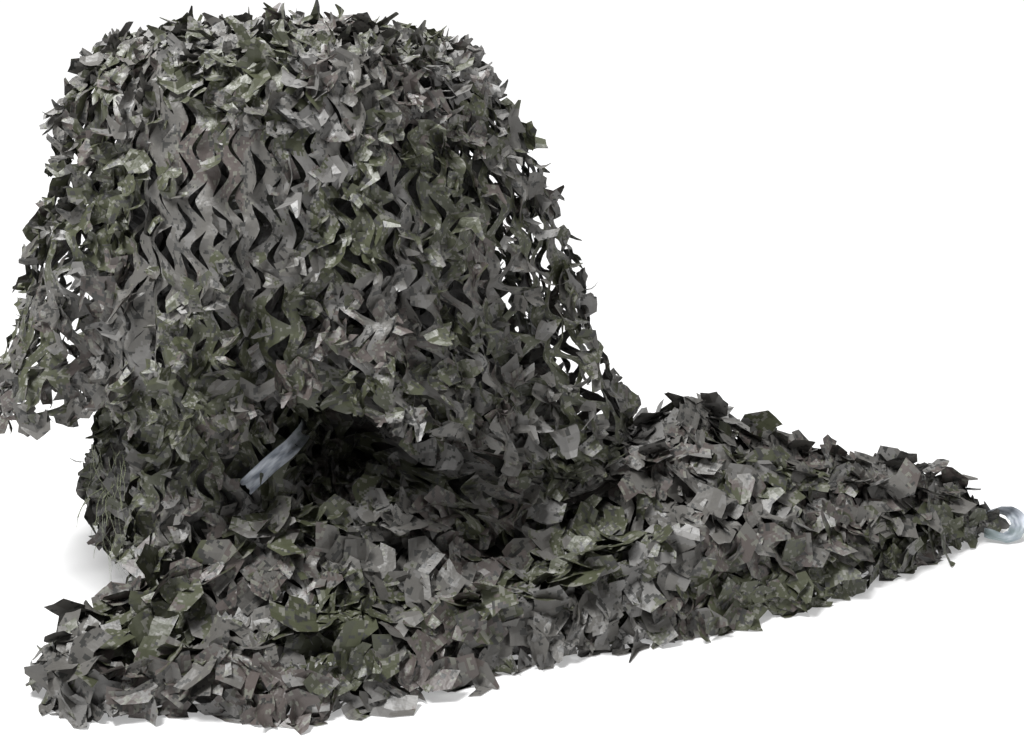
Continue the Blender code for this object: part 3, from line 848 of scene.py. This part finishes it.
def netClothMaterial(name, shade=1.0):
    # patches of colour in square pixels, with dark clusters, and pale flecks on brown and olive
    material, tree, shader = newMaterial(name)
    # shade below 1 darkens every tint of the print, as painted shade
    tints = {key: tuple(channel * shade for channel in value)
             for key, value in clothPrint["tints"].items()}
    uv = clothPlace(tree)
    pixel = vectors(tree, "SNAP", uv, (clothPrint["pixel"],) * 3)
    fleck, darkFleck, cluster = [noiseNode(tree, pixel, *clothPrint[key])
                                 for key in ("fleck", "dark", "cluster")]
    colour = tints["grey"]
    masks = {}
    for tint, noise, edge in clothPrint["patches"]:
        patch = noiseNode(tree, pixel, *noise)
        broken = maths(tree, "MULTIPLY_ADD", fleck, clothPrint["brokenEdge"], patch)
        masks[tint] = maths(tree, "GREATER_THAN", broken, edge)
        colour = layered(tree, colour, masks[tint], tints[tint])
    dark = maths(tree, "MULTIPLY", maths(tree, "GREATER_THAN", darkFleck, clothPrint["darkAbove"]),
                 maths(tree, "GREATER_THAN", cluster, clothPrint["clusterAbove"]))
    colour = layered(tree, colour, dark, tints["darkGrey"])
    pale = maths(tree, "MULTIPLY", maths(tree, "GREATER_THAN", fleck, clothPrint["fleckAbove"]),
                 maths(tree, "MAXIMUM", masks["brown"], masks["olive"]))
    weave = bumped(tree, noiseNode(tree, uv, *clothPrint["weave"]), *clothPrint["weaveBump"])
    wrinkle = noiseNode(tree, uv, *clothPrint["wrinkle"])
    fill(tree, shader, {"Base Color": layered(tree, colour, pale, tints["paleFleck"]),
                        "Roughness": clothPrint["roughness"], "Specular IOR Level": clothPrint["specular"],
                        "Normal": bumped(tree, wrinkle, *clothPrint["wrinkleBump"], Normal=weave)})
    return material


threadTint = {"light": (0.19, 0.21, 0.12), "dark": (0.11, 0.12, 0.07), "roughness": 0.6,
              "twist": (300.0, 1.0, 0.5), "darkAbove": 0.52}


def threadMaterial():
    # twisted thread: its colour changes a little along it
    material, tree, shader = newMaterial("threadOlive")
    twist = noiseNode(tree, clothPlace(tree), *threadTint["twist"])
    mask = maths(tree, "GREATER_THAN", twist, threadTint["darkAbove"])
    fill(tree, shader, {"Base Color": layered(tree, threadTint["light"], mask, threadTint["dark"]),
                        "Roughness": threadTint["roughness"]})
    return material


capeShape = roundSurface(capeProfile, capeScan)
topShape = topSurface()
bundleShape = roundSurface(bundleProfile, bundleScan)
tailShape = tailSurface()
print("stage: draped surfaces read")

netCloth = netClothMaterial("netCloth")
# the same cloth darkened, as painted shade for the layers that lie in the dark
shadeDarkenedCloth = netClothMaterial("shadeDarkenedCloth", clothPrint["innerShade"])

# How lively the cape's cloth is, and where it lies flat: azimuth, metres from the pole, and their reach
capeCalm = {
    "usual": 0.85, "varies": 0.30, "wave": 0.16, "calmer": 0.78, "steepness": 0.8, "least": 0.05,
    "patches": ((259.0, 0.41, 18.0, 0.062), (244.0, 0.56, 8.0, 0.060)),
}
# Where the hanging skirt is drawn open, so that light comes through: azimuth, how far and how much
skirtOpening = {"sides": ((352.0, 42.0, 0.95), (190.0, 34.0, 0.62)), "slope": 1.6, "least": 0.25,
                "from": 0.36, "fade": 0.08, "hem": 0.02, "hemFade": 0.07}
# Pleats that run down the hanging cape: azimuth, depth in metres, half width in degrees
capePleats = {
    "pleats": ((223.0, 0.034, 5.5), (268.5, 0.046, 6.0), (302.0, 0.038, 5.0), (314.0, 0.034, 4.5),
               (241.0, 0.020, 3.5), (284.0, 0.026, 4.0), (12.0, 0.026, 5.0), (48.0, 0.024, 5.0),
               (83.0, 0.028, 5.5), (121.0, 0.026, 5.0), (163.0, 0.024, 4.5)),
    "from": 0.45, "fade": 0.14, "sway": 3.5, "wave": 0.17,
}
# Lanes where the tail's cloth sinks in between its folds
tailLanes = {"apart": 0.155, "sway": 0.85, "wave": 0.34, "wide": 0.19, "deep": 0.046, "fromEnd": 0.16,
             "strength": (0.35, 1.3), "strengthWave": 0.20}


def asShare(amount):
    return np.clip(amount, 0.0, 1.0)


def capeWildness(u, v):
    azimuth = (u / capeScan["radius"]) % math.tau
    lively = flatNoise(u, v, capeCalm["wave"], 77, capeShape.around)
    wildness = capeCalm["usual"] + capeCalm["varies"] * lively
    for middle, down, reachAzimuth, reachDown in capeCalm["patches"]:
        across = (azimuth - math.radians(middle)) / math.radians(reachAzimuth)
        along = (v - down) / reachDown
        near = np.exp(-capeCalm["steepness"] * (across * across + along * along))
        wildness = wildness - capeCalm["calmer"] * near
    return np.clip(wildness, capeCalm["least"], 1.0)


def capeOpenness(u, v):
    azimuth = np.degrees(u / capeScan["radius"]) % 360.0
    openness = np.zeros_like(u)
    for middle, reach, most in skirtOpening["sides"]:
        near = skirtOpening["slope"] - skirtOpening["slope"] * (angleAway(azimuth, middle) / reach)
        openness = np.maximum(openness, most * asShare(near))
    openness = skirtOpening["least"] + (1.0 - skirtOpening["least"]) * openness
    toHem = (capeShape.endAt(u) - v - skirtOpening["hem"]) / skirtOpening["hemFade"]
    return openness * asShare((v - skirtOpening["from"]) / skirtOpening["fade"]) * asShare(toHem)


def capeGrooves(u, v):
    sway = capePleats["sway"] * flatNoise(u, v, capePleats["wave"], 91, capeShape.around)
    azimuth = np.degrees(u / capeScan["radius"]) + sway
    depth = np.zeros_like(u)
    for middle, deep, wide in capePleats["pleats"]:
        depth = np.maximum(depth, deep * asShare(1.0 - angleAway(azimuth, middle) / wide))
    return depth * asShare((v - capePleats["from"]) / capePleats["fade"])


def tailGrooves(u, v):
    lane = v / tailLanes["apart"] + tailLanes["sway"] * flatNoise(u, v, tailLanes["wave"], 92)
    inLane = asShare(1.0 - np.abs(lane - np.round(lane)) / tailLanes["wide"])
    usual, varies = tailLanes["strength"]
    strength = asShare(usual + varies * flatNoise(u, v, tailLanes["strengthWave"], 93))
    toEnd = asShare(np.minimum(u, tailShape.stepU * len(tailShape.ends) - u) / tailLanes["fromEnd"])
    return tailLanes["deep"] * inLane * strength * toEnd


def everywhere(u, v):
    return np.ones_like(u)


def nowhere(u, v):
    return np.zeros_like(u)


def trimmed(surface, look):
    # keeps the cloth from its start to the surface's end, both cut ragged
    def keep(u, v, p):
        end = surface.endAt(u) + look["past"] - look["back"] + raggedEdge(p, *look["endEdge"])
        return (v > look["start"] + raggedEdge(p, *look["startEdge"])) & (v < end)
    return keep


def leafGround(surface, look):
    # says where leaves may grow, in from the edges of the surface
    def keep(u, v):
        return ((u > look["leavesIn"]) & (v > look["leavesFrom"])
                & (v < surface.endAt(u) - look["leavesShort"]))
    return keep


def turnSpan(scan, length):
    # once round the heap, from seam to seam
    turn = 2.0 * math.pi * scan["radius"]
    return (heapSpace["seamShare"] * turn, (1.0 + heapSpace["seamShare"]) * turn), (0.0, length)


def declare(piece, material, leaves=()):
    for part in (piece, *leaves):
        part.data.materials.clear()
        part.data.materials.append(material)
        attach(part, "root")
        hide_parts("net")


# Lifts and rolls are degrees, gaps and folds are metres, and gather is a laid width over its cut width.
# An edge is its seed, how uneven it is and how deep its points are; leafTaper is how far from the ends
# of the cloth its leaves grow calmer.
capeLook = {
    "pointedLift": 42.0, "hollowLift": 26.0, "wildLift": 100.0, "wildShare": 0.42, "inwardShare": 0.28,
    "gap": 0.0038, "openGap": 0.0052, "droop": 0.35, "gather": 1.0, "bunch": 0.012, "folds": 0.009,
    "crumple": 0.0085, "crease": 0.0022, "stir": 0.003, "offset": -0.006, "printShift": (7.7, 3.4),
    "wildness": capeWildness, "openness": capeOpenness, "grooves": capeGrooves, "sharp": 24.0,
    "start": 0.215, "startEdge": (6, 0.014, 0.010), "past": 0.006, "back": 0.0,
    "endEdge": (5, 0.010, 0.014), "leafCount": 2500, "leafSize": 0.95, "leafLift": (-6.0, 55.0),
    "leafRoll": 60.0, "leafRise": 0.008, "leafTaper": 1e-6, "hang": 0.7, "leavesIn": 0.0,
    "leavesFrom": 0.21, "leavesShort": 0.008,
}
plainLook = dict(capeLook, wildness=everywhere, openness=nowhere, grooves=nowhere)

capeSpan = turnSpan(capeScan, 0.97)
cape, size, area = layCloth("capeNet", capeShape, capeLook, 100, capeSpan, trimmed(capeShape, capeLook))
capeLeaves = leavesOn("capeLeaves", capeShape, capeLook, 150, capeSpan, leafGround(capeShape, capeLook),
                      leavesOnPoints)
declare(cape, netCloth, [capeLeaves])

topLook = dict(plainLook, wildLift=78.0, offset=-0.009, printShift=(11.3, 4.4), clothRadius=0.245,
               edge=(8, 0.014, 0.012), leafCount=420, leafLift=(-6.0, 36.0), leafRadius=0.26)
topSpan = ((0.0, 2.0 * heapSpace["topHalf"]),) * 2


def fromAxis(u, v):
    return np.hypot(u - heapSpace["topHalf"], v - heapSpace["topHalf"])


def keepTop(u, v, p):
    return fromAxis(u, v) < topLook["clothRadius"] + raggedEdge(p, *topLook["edge"])


top, size, area = layCloth("topNet", topShape, topLook, 160, topSpan, keepTop)
topLeaves = leavesOn("topLeaves", topShape, topLook, 170, topSpan,
                     lambda u, v: fromAxis(u, v) < topLook["leafRadius"], leavesOnPoints)
declare(top, netCloth, [topLeaves])

bundleLook = dict(plainLook, pointedLift=45.0, hollowLift=30.0, gather=0.93, bunch=0.014, folds=0.015,
                  crumple=0.015, crease=0.004, stir=0.007, offset=-0.010, printShift=(5.0, 1.0),
                  start=-1.0, past=-0.004, endEdge=(12, 0.006, 0.010), leafCount=1150, leafSize=1.0,
                  leavesFrom=0.34, leavesShort=0.0)
bundleSpan = turnSpan(bundleScan, 0.80)
bundle, size, area = layCloth("bundleNet", bundleShape, bundleLook, 200, bundleSpan,
                              trimmed(bundleShape, bundleLook))
bundleLeaves = leavesOn("bundleLeaves", bundleShape, bundleLook, 250, bundleSpan,
                        leafGround(bundleShape, bundleLook), leavesOnPoints)

# Where the olive backing threads hang loose, as azimuths and as metres down the bundle
threadLook = dict(bundleLook, azimuths=(203.0, 236.0), down=(0.51, 0.68), leafCount=54, leafSize=0.85,
                  leafLift=(-10.0, 12.0), leafRoll=40.0, hang=1.6, offset=0.014)
threadSpan = (tuple(math.radians(azimuth) * bundleScan["radius"] for azimuth in threadLook["azimuths"]),
              threadLook["down"])
threads = leavesOn("backingThreads", bundleShape, threadLook, 260, threadSpan,
                   leafGround(bundleShape, threadLook), threadsOnPoints)
declare(bundle, netCloth, [bundleLeaves, threads])
# the bundle's upper part, under the cape, takes the darkened cloth as painted shade
bundle.data.materials.append(shadeDarkenedCloth)
for face in bundle.data.polygons:
    face.material_index = int(face.center.z > bundleScan["hiddenAbove"])
threads.data.materials.clear()
threads.data.materials.append(threadMaterial())

# Plain layers inside, so that a slit opens onto more net; their cloth is darkened as painted shade
coreLook = dict(bundleLook, pointedLift=0.0, hollowLift=0.0, wildShare=0.0, gap=0.0, gather=1.0,
                folds=0.008, crumple=0.006, offset=-0.034, printShift=(9.0, 4.0))
core, size, area = layCloth("bundleCore", bundleShape, coreLook, 260, bundleSpan,
                            trimmed(bundleShape, coreLook), fineness=3)
declare(core, shadeDarkenedCloth)
topCoreLook = dict(coreLook, printShift=(2.0, 6.0), clothRadius=0.27)
coreTop, size, area = layCloth("topCore", topShape, topCoreLook, 270, topSpan,
                               lambda u, v, p: fromAxis(u, v) < topCoreLook["clothRadius"], fineness=3)
declare(coreTop, shadeDarkenedCloth)

# What all that lies on the tail shares
tailShared = {"grooves": tailGrooves, "start": 0.002, "startEdge": (6, 0.0, 0.0), "past": 0.008}
tailLook = dict(plainLook, **tailShared, pointedLift=44.0, hollowLift=28.0, wildLift=98.0,
                wildShare=0.38, gap=0.0040, droop=0.0, gather=0.94, bunch=0.018, folds=0.020,
                crumple=0.013, crease=0.0035, stir=0.008, offset=-0.016, printShift=(7.0, 3.1),
                endEdge=(7, 0.010, 0.014), leafCount=1750, leafSize=1.18, leafLift=(-8.0, 30.0),
                leafRoll=50.0, leafRise=0.010, leafTaper=0.12, hang=0.3, leavesIn=0.03,
                leavesFrom=0.004, leavesShort=0.004)
tailSpan = ((0.0, 1.56), (0.0, 0.94))
tail, size, area = layCloth("tailNet", tailShape, tailLook, 300, tailSpan, trimmed(tailShape, tailLook))
tailLeaves = leavesOn("tailLeaves", tailShape, tailLook, 350, tailSpan, leafGround(tailShape, tailLook),
                      flatLeavesOnPoints)
declare(tail, netCloth, [tailLeaves])
underLook = dict(tailLook, offset=-0.034, printShift=(13.0, 2.0), back=0.02, endEdge=(9, 0.010, 0.014))
under, size, area = layCloth("tailUnder", tailShape, underLook, 400, tailSpan,
                             trimmed(tailShape, underLook), turn=90.0)
declare(under, netCloth)
# a plain layer deep under the tail, its cloth darkened as painted shade
tailCoreLook = dict(coreLook, **tailShared, offset=-0.050, printShift=(6.0, 9.0), back=0.03,
                    endEdge=(11, 0.010, 0.014))
tailCore, size, area = layCloth("tailCore", tailShape, tailCoreLook, 450, tailSpan,
                                trimmed(tailShape, tailCoreLook), fineness=3)
declare(tailCore, shadeDarkenedCloth)
print("stage: cloth draped")


# The woven satin ribbons: a strap that hangs out of the recess, and a loop at the tail's end
strapRibbon = {
    "width": 0.0235, "rows": 44, "columns": 10, "fold": 0.0026, "foldAt": 0.28, "wrinkle": 0.0008,
    "fray": 0.004, "rounding": 2,
    "places": ((-0.3372, -0.1000, 0.2611), (-0.3358, -0.1500, 0.2640), (-0.3385, -0.1900, 0.2670),
               (-0.3439, -0.2250, 0.2660), (-0.3628, -0.2450, 0.2553), (-0.3815, -0.2500, 0.2386),
               (-0.4004, -0.2400, 0.2191)),
    "across": ((0.70, -0.16, -0.70), (0.68, -0.18, -0.72), (0.66, -0.20, -0.72), (0.66, -0.22, -0.72),
               (0.66, -0.24, -0.70), (0.66, -0.18, -0.73), (0.66, -0.10, -0.74)),
}
loopRibbon = {
    "width": 0.0240, "rows": 60, "columns": 8, "fold": 0.0014, "foldAt": 0.2, "wrinkle": 0.0007,
    "fray": 0.0, "rounding": 1,
    "places": ((0.7220, 0.0970, 0.0120), (0.7640, 0.0870, 0.0030), (0.7880, 0.1180, 0.0250),
               (0.7650, 0.1330, 0.0435), (0.7220, 0.1240, 0.0340)),
    "across": ((0.0, 0.913, 0.40), (-0.60, 0.65, 0.35), (-0.97, 0.10, -0.10), (-0.40, 0.45, -0.70),
               (0.0, 0.66, -0.75)),
}
# Both have a fold along them, two waves (across, along, strength), and a far end that may be frayed
ribbonShape = {"foldSlope": 2.6, "waves": ((9.0, 15.0, 1.0), (14.0, 37.0, 0.6)),
               "frayPower": 8, "frayWaves": (41.0, 23.0), "lowest": 0.001}


def alongRun(points, sides, share):
    # a place on a run of points, at a share of its length, with the way on and the way across there
    lengths = np.concatenate([[0.0], np.cumsum([(b - a).length for a, b in zip(points, points[1:])])])
    reach = share * lengths[-1]
    index = min(int(np.searchsorted(lengths, reach, side="right")) - 1, len(points) - 2)
    part = (reach - lengths[index]) / (lengths[index + 1] - lengths[index])
    before, after = points[max(index - 1, 0)], points[min(index + 2, len(points) - 1)]
    way = (points[index + 1] - before).lerp(after - points[index], part).normalized()
    return points[index].lerp(points[index + 1], part), way, sides[index].lerp(sides[index + 1], part)


def smoothRun(points, rounds):
    # corners cut off a run of points, its two ends kept
    points = [Vector(point) for point in points]
    for _ in range(rounds):
        middle = []
        for a, b in zip(points, points[1:]):
            middle += [a.lerp(b, 0.25), a.lerp(b, 0.75)]
        points = [points[0], *middle[1:-1], points[-1]]
    return points


def ribbonPiece(name, look, stands):
    points = smoothRun(look["places"], look["rounding"])
    sides = smoothRun(look["across"], look["rounding"])
    length = sum((b - a).length for a, b in zip(points, points[1:]))
    ribbon = bmesh.new()
    bmesh.ops.create_grid(ribbon, x_segments=look["columns"], y_segments=look["rows"], size=0.5)
    bmesh.ops.translate(ribbon, verts=ribbon.verts, vec=(0.0, 0.5, 0.0))
    sheet = ribbon.loops.layers.uv.new("cloth")
    for face in ribbon.faces:
        face.smooth = True
        for loop in face.loops:
            loop[sheet].uv = (loop.vert.co.x * look["width"], loop.vert.co.y * length)
    sine, cosine = ribbonShape["frayWaves"]
    for vertex in ribbon.verts:
        x, share = vertex.co.x, vertex.co.y
        frayed = look["fray"] * share ** ribbonShape["frayPower"]
        ragged = frayed * math.sin(sine * x) * math.cos(cosine * x)
        place, way, across = alongRun(points, sides, min(share, 1.0))
        side = (across - way * across.dot(way)).normalized()
        face = side.cross(way)
        crease = look["fold"] * (1.0 - ribbonShape["foldSlope"] * abs(2.0 * x - look["foldAt"]))
        crease += look["wrinkle"] * sum(strength * math.sin(a * x + b * share)
                                        for a, b, strength in ribbonShape["waves"])
        vertex.co = place + way * ragged + side * look["width"] * x + face * crease
        vertex.co.z = max(vertex.co.z, ribbonShape["lowest"])
    piece = shown(name, asMesh(name, ribbon))
    piece.data.materials.append(satin)
    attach(piece, "root")
    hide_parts(stands)
    print("piece:", name, "ribbon", round(length, 3), "m long")


satinFinish = {
    # dark and light are the two ends of painted sheen and shade, laid in soft streaks along the ribbon
    "dark": (0.15, 0.17, 0.21), "light": (0.43, 0.46, 0.51), "shadeEdges": (0.36, 0.60),
    "sheenStreaks": (3.2, 0.7, 1.0), "shade": (45.0, 2.0, 0.5),
    # the tint is the ribbon's greenish hue, made darker as painted shade near the sewn end
    "tint": (0.110, 0.145, 0.145), "patches": (28.0, 2.0, 0.5, (2.0, 5.0, 0.0)),
    "tintFades": {"From Min": 0.12, "From Max": 0.58},
    "fade": 3.0,               # how fast the tint, a greenish hue darkened as painted shade, goes, for each metre from the ribbon's sewn end
    "ribs": {"Scale": 420.0, "Distortion": 1.5}, "ribBump": (0.25, 0.0004),
    "roughness": 0.34, "sheen": 0.25,
}


def satinMaterial():
    # fine ribs across the ribbon, painted sheen and shade in soft streaks along it, and a darker greenish
    # tint, patchy, near the sewn end, partly its own hue and partly painted shade
    material, tree, shader = newMaterial("satinRibbon")
    uv = clothPlace(tree)
    # soft streaks along the ribbon, from dark to light: painted sheen and shade
    sheenStreaks = vectors(tree, "MULTIPLY", uv, satinFinish["sheenStreaks"])
    ramp = node(tree, "ShaderNodeValToRGB", {"Fac": noiseNode(tree, sheenStreaks, *satinFinish["shade"])})
    for stop, edge, key in zip(ramp.color_ramp.elements, satinFinish["shadeEdges"], ("dark", "light")):
        stop.position = edge
        stop.color = (*satinFinish[key], 1.0)
    along = node(tree, "ShaderNodeSeparateXYZ", {0: uv}).outputs["Y"]
    # a darker greenish tint near the sewn end, partly its own hue and partly painted shade
    patch = noiseNode(tree, uv, *satinFinish["patches"])
    faded = maths(tree, "MULTIPLY_ADD", along, -satinFinish["fade"], patch)
    shadeTinted = node(tree, "ShaderNodeMapRange",
                  {**satinFinish["tintFades"], "Value": faded}).outputs["Result"]
    ribs = node(tree, "ShaderNodeTexWave", {**satinFinish["ribs"], "Vector": uv},
                wave_type="BANDS", bands_direction="Y").outputs["Fac"]
    fill(tree, shader, {"Base Color": layered(tree, ramp.outputs["Color"], shadeTinted, satinFinish["tint"]),
                        "Roughness": satinFinish["roughness"], "Sheen Weight": satinFinish["sheen"],
                        "Normal": bumped(tree, ribs, *satinFinish["ribBump"])})
    return material


satin = satinMaterial()
ribbonPiece("strapRibbon", strapRibbon, "tie_front")
ribbonPiece("loopRibbon", loopRibbon, "tie_tail")
print("stage: ribbons made")

floorFinish = {"colour": (0.58, 0.58, 0.58, 1.0), "roughness": 0.9, "half": 300.0,
               "glow": {"From Min": 1.0, "From Max": 5.0, "To Min": 0.33, "To Max": 1.0}}


def floorMaterial():
    # a pale floor that stays as bright far away as it is near the lamps
    material, tree, shader = newMaterial("paleFloor")
    place = node(tree, "ShaderNodeTexCoord", {}).outputs["Object"]
    away = node(tree, "ShaderNodeVectorMath", {0: place}, operation="LENGTH").outputs["Value"]
    glow = node(tree, "ShaderNodeMapRange", {**floorFinish["glow"], "Value": away},
                interpolation_type="SMOOTHSTEP").outputs["Result"]
    fill(tree, shader, {"Base Color": floorFinish["colour"], "Roughness": floorFinish["roughness"],
                        "Emission Color": (1.0, 1.0, 1.0, 1.0), "Emission Strength": glow})
    return material


floorShape = bmesh.new()
bmesh.ops.create_grid(floorShape, x_segments=1, y_segments=1, size=floorFinish["half"])
floor = shown("floor", asMesh("floor", floorShape))
floor.data.materials.append(floorMaterial())

studio = {
    "sky": 0.14,               # its light; the camera sees it white
    "lamps": (
        {"name": "keyLamp", "at": (-1.50, -1.20, 3.68), "aim": (-0.2, 0.0, 0.35),
         "size": 1.1, "power": 270.0},
        {"name": "fillLamp", "at": (2.6, -1.6, 1.8), "aim": (0.0, 0.0, 0.3), "size": 1.6, "power": 21.0},
        {"name": "topLamp", "at": (0.2, 1.2, 3.2), "aim": (-0.1, 0.0, 0.2), "size": 2.0, "power": 60.0},
    ),
    "cameraAt": (-0.0414, -2.0416, 0.90), "cameraTilt": 74.0, "lens": 50.0, "sensor": 36.0,
}
world = bpy.data.worlds.new("studio")
bpy.context.scene.world = world
world.use_nodes = True
skyTree = world.node_tree
sight = node(skyTree, "ShaderNodeLightPath", {}).outputs["Is Camera Ray"]
seen = node(skyTree, "ShaderNodeMapRange", {"Value": sight, "To Min": studio["sky"]}).outputs["Result"]
fill(skyTree, skyTree.nodes["Background"], {"Color": (1.0, 1.0, 1.0, 1.0), "Strength": seen})
for lamp in studio["lamps"]:
    light = bpy.data.lights.new(lamp["name"], "AREA")
    light.size = lamp["size"]
    light.energy = lamp["power"]
    holder = shown(lamp["name"], light)
    holder.location = lamp["at"]
    holder.rotation_euler = (Vector(lamp["aim"]) - Vector(lamp["at"])).to_track_quat("-Z", "Y").to_euler()
bpy.context.scene.view_settings.view_transform = "Standard"

cameraData = bpy.data.cameras.new("camera")
cameraData.lens = studio["lens"]
cameraData.sensor_width = studio["sensor"]
camera = shown("camera", cameraData)
camera.location = studio["cameraAt"]
camera.rotation_euler = (math.radians(studio["cameraTilt"]), 0.0, 0.0)
bpy.context.scene.camera = camera
print("stage: studio set")
